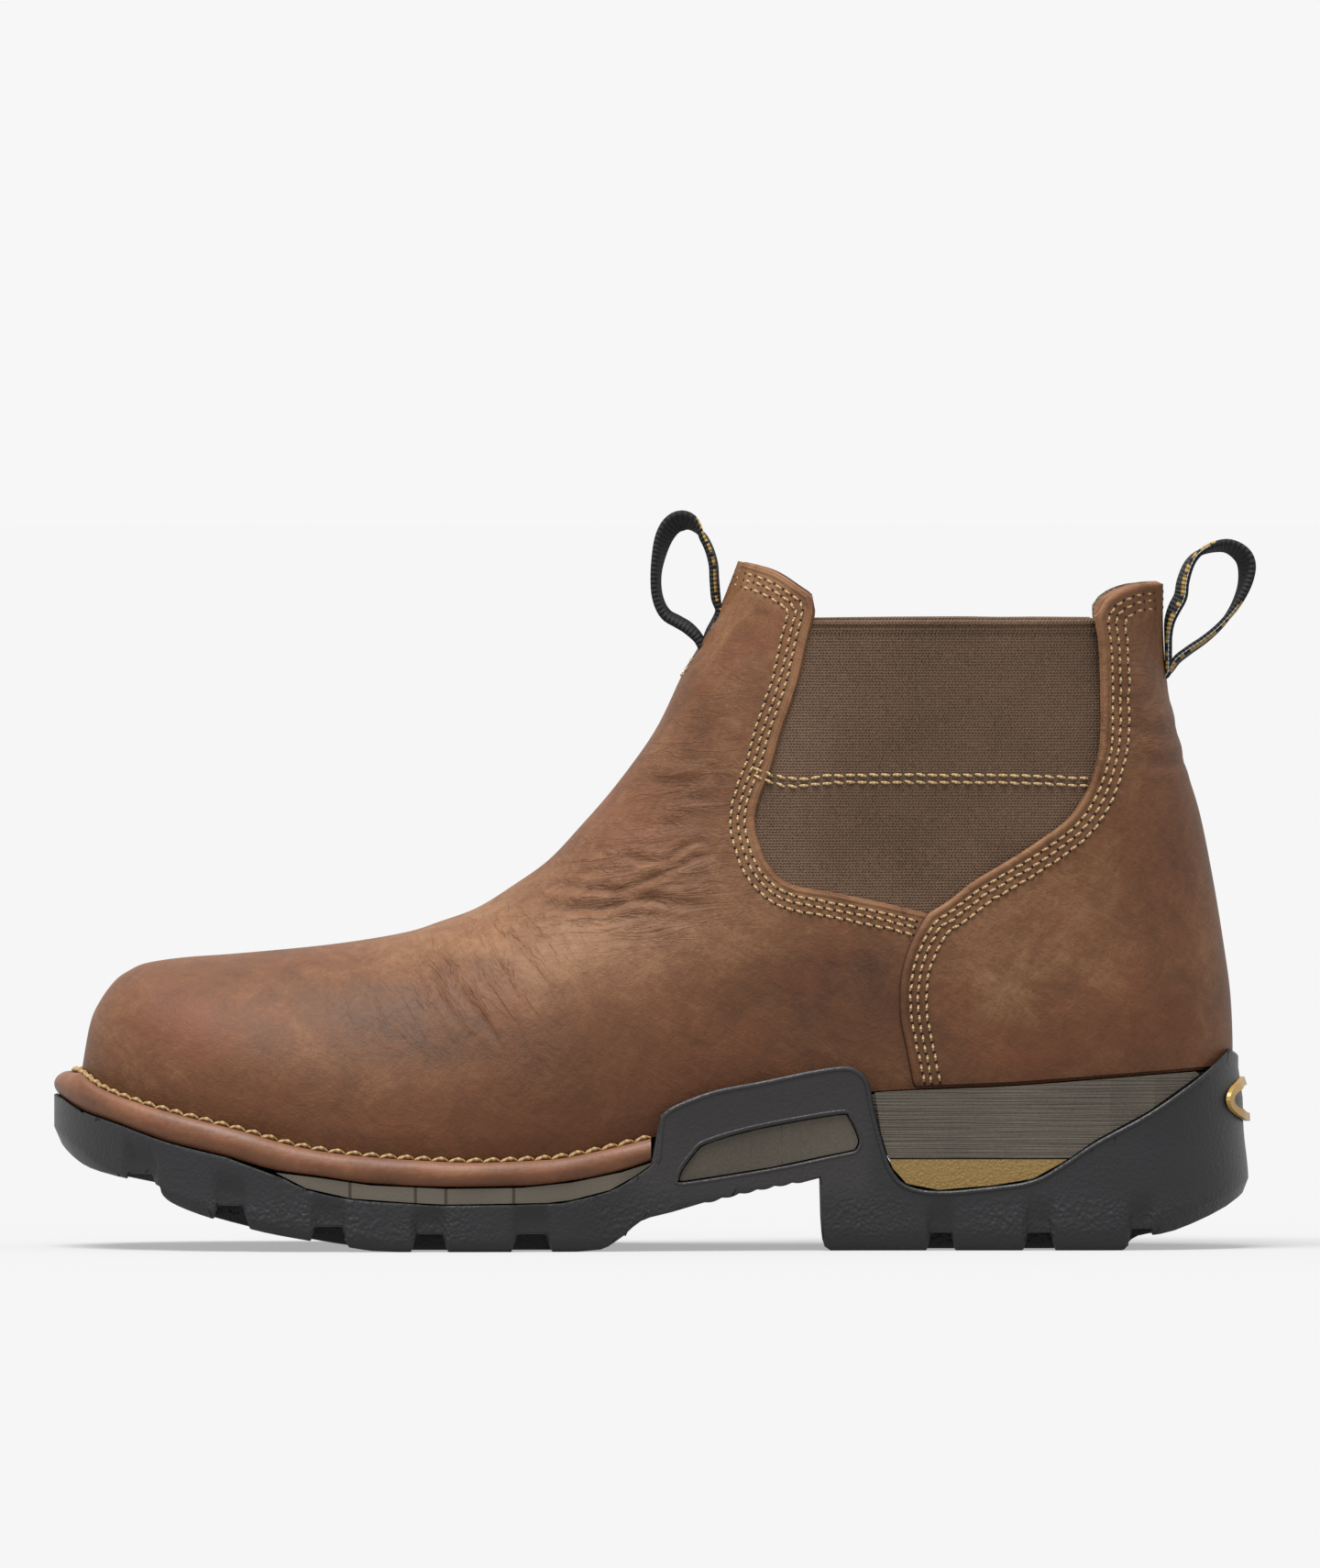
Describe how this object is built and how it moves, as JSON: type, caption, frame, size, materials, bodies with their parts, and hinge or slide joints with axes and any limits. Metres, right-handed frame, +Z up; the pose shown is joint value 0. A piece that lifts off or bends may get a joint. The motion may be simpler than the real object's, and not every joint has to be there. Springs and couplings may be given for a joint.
{
  "type": "side gore work boot",
  "caption": "Ankle-high slip-on work boot with elastic side panels, pull loops, welted round toe, lugged sole with arch wings and a stepped heel.",
  "frame": {"origin": "on the floor under the middle of the heel, on the heel's flat tread", "axes": "+X towards the back of the heel and -X towards the toe, -Y towards the outer side of the foot, +Z up"},
  "size_m": [0.31, 0.1119, 0.1896],
  "materials": {
    "upper_leather": "oiled full grain, mottled brown",
    "gore_elastic": "fine ribbed elastic webbing",
    "black_rubber": "pebbled matt black rubber",
    "taupe_midsole": "matt foam rubber with fine level lines",
    "tan_insert": "grained tan rubber",
    "welt_leather": "smooth red-brown leather",
    "footbed_fabric": "dark cloth-covered footbed",
    "black_webbing": "woven black tape with gold edges",
    "badge_gold": "satin gold paint"
  },
  "bodies": {
    "root": {"upper": "upper_leather", "gore_lateral": "gore_elastic", "gore_medial": "gore_elastic", "outsole": "black_rubber", "midsole": "taupe_midsole", "heel_insert": "tan_insert", "welt": "welt_leather", "insole": "footbed_fabric", "front_pull_loop": "black_webbing", "rear_pull_loop": "black_webbing", "heel_badge": "badge_gold"}
  },
  "joints": []
}
